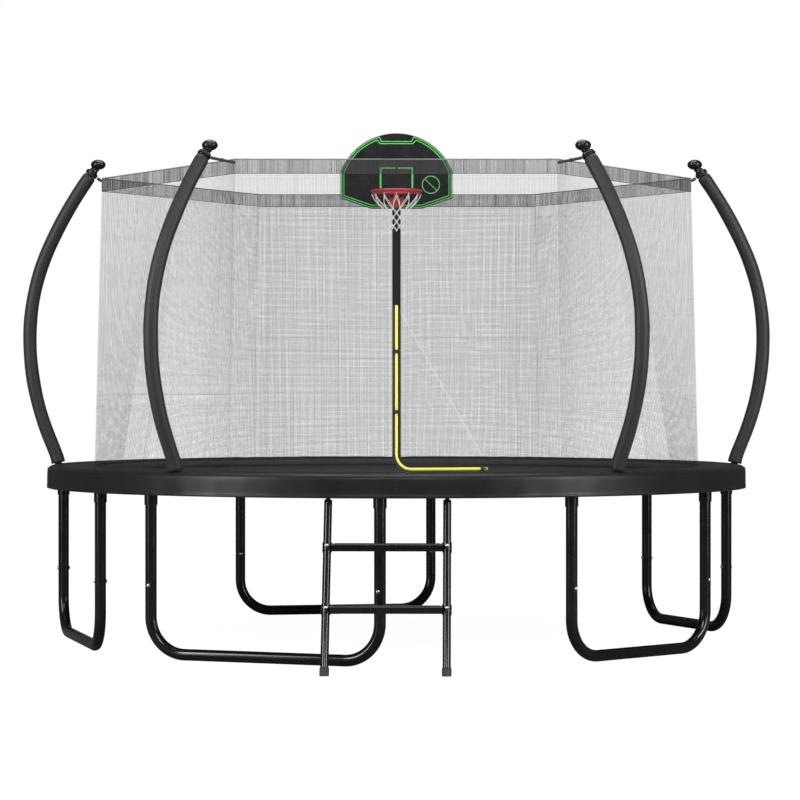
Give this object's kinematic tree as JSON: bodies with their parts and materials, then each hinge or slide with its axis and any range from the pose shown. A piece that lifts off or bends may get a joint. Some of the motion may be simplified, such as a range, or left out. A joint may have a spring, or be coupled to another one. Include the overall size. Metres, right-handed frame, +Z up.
{
  "type": "trampoline",
  "caption": "Round family trampoline with a padded ring, bowed net poles, hexagonal net with a zip door, a throw hoop with a backboard, and a leaning ladder",
  "frame": {"origin": "on the ground under the centre of the frame ring", "axes": "+Z is up, the ladder and the door are at -Y and the hoop at +Y"},
  "size_m": [3.934, 4.0399, 2.7639],
  "materials": {
    "tube_black": "gloss black coat",
    "bolt_silver": "zinc plated",
    "spring_steel": "zinc plated",
    "mat_cloth": "woven black",
    "pad_cover": "coated cloth, satin",
    "foam_cover": "foam in a matt cover",
    "cap_black": "moulded",
    "saddle_black": "moulded",
    "strap_black": "webbing",
    "net_cord": "knitted mesh",
    "band_grey": "dense mesh",
    "net_rod": "glass fibre rod",
    "zip_yellow": "zip tape and teeth",
    "slider_black": "moulded",
    "buckle_black": "moulded",
    "board_black": "printed with a green border",
    "rim_red": "red coat",
    "cord_white": "cord",
    "foot_rubber": "moulded"
  },
  "bodies": {
    "frame": {"ring_segment_1": "tube_black", "ring_segment_2": "tube_black", "ring_segment_3": "tube_black", "ring_segment_4": "tube_black", "ring_segment_5": "tube_black", "ring_segment_6": "tube_black", "ring_segment_7": "tube_black", "ring_segment_8": "tube_black", "ring_segment_9": "tube_black", "ring_segment_10": "tube_black", "leg_base_1": "tube_black", "leg_base_2": "tube_black", "leg_base_3": "tube_black", "leg_base_4": "tube_black", "leg_base_5": "tube_black", "leg_posts": "tube_black", "pole_1": "tube_black", "pole_2": "tube_black", "pole_3": "tube_black", "pole_4": "tube_black", "hoop_pole": "tube_black", "hoop_bracket": "tube_black", "hoop_bolts": "tube_black", "leg_bolts": "bolt_silver", "springs": "spring_steel", "safety_pad": "pad_cover", "foam_sleeve_1": "foam_cover", "foam_sleeve_2": "foam_cover", "foam_sleeve_3": "foam_cover", "foam_sleeve_4": "foam_cover", "pole_cap_1": "cap_black", "pole_cap_2": "cap_black", "pole_cap_3": "cap_black", "pole_cap_4": "cap_black", "pole_saddles": "saddle_black", "net_straps": "strap_black", "net_panel_1": "net_cord", "net_panel_2": "net_cord", "net_panel_3": "net_cord", "net_panel_4": "net_cord", "net_panel_5": "net_cord", "net_panel_6": "net_cord", "net_band": "band_grey", "net_rods": "net_rod", "door_zip": "zip_yellow", "buckle_catches": "buckle_black", "backboard": "board_black", "rim": "rim_red", "rim_net": "cord_white"},
    "bed": {"mat": "mat_cloth", "mat_rings": "spring_steel"},
    "door": {"door_flap": "net_cord"},
    "slider": {"zip_slider": "slider_black"},
    "buckle_upper": {"buckle_tongue_upper": "buckle_black"},
    "buckle_lower": {"buckle_tongue_lower": "buckle_black"},
    "ladder": {"ladder_rail_left": "tube_black", "ladder_rail_right": "tube_black", "ladder_treads": "tube_black", "ladder_bolts": "bolt_silver", "ladder_feet": "foot_rubber"}
  },
  "joints": [
    {"name": "mat_bounce", "type": "slide", "parent": "frame", "child": "bed", "axis": [0, 0, -1], "range_m": [0, 0.25], "stiffness_N_per_m": 5000, "springref_m": -0.04, "deforming": ["springs"]},
    {"name": "door_swing", "type": "hinge", "parent": "frame", "child": "door", "pos_m": [0.22313, -1.45872, 1.31875], "axis": [0.4934, -0.0155, -0.8696], "range_deg": [0, 75]},
    {"name": "zip_pull", "type": "slide", "parent": "frame", "child": "slider", "axis": [-0.9659, -0.2588, 0], "range_m": [0, 0.34]},
    {"name": "buckle_upper_release", "type": "slide", "parent": "frame", "child": "buckle_upper", "axis": [0.9659, 0.2588, 0], "range_m": [0, 0.02]},
    {"name": "buckle_lower_release", "type": "slide", "parent": "frame", "child": "buckle_lower", "axis": [0.9659, 0.2588, 0], "range_m": [0, 0.02]},
    {"name": "ladder_swing", "type": "hinge", "parent": "frame", "child": "ladder", "pos_m": [-0.04066, -1.75145, 0.8291], "axis": [-0.9997, 0.0232, 0], "range_deg": [0, 12]}
  ]
}
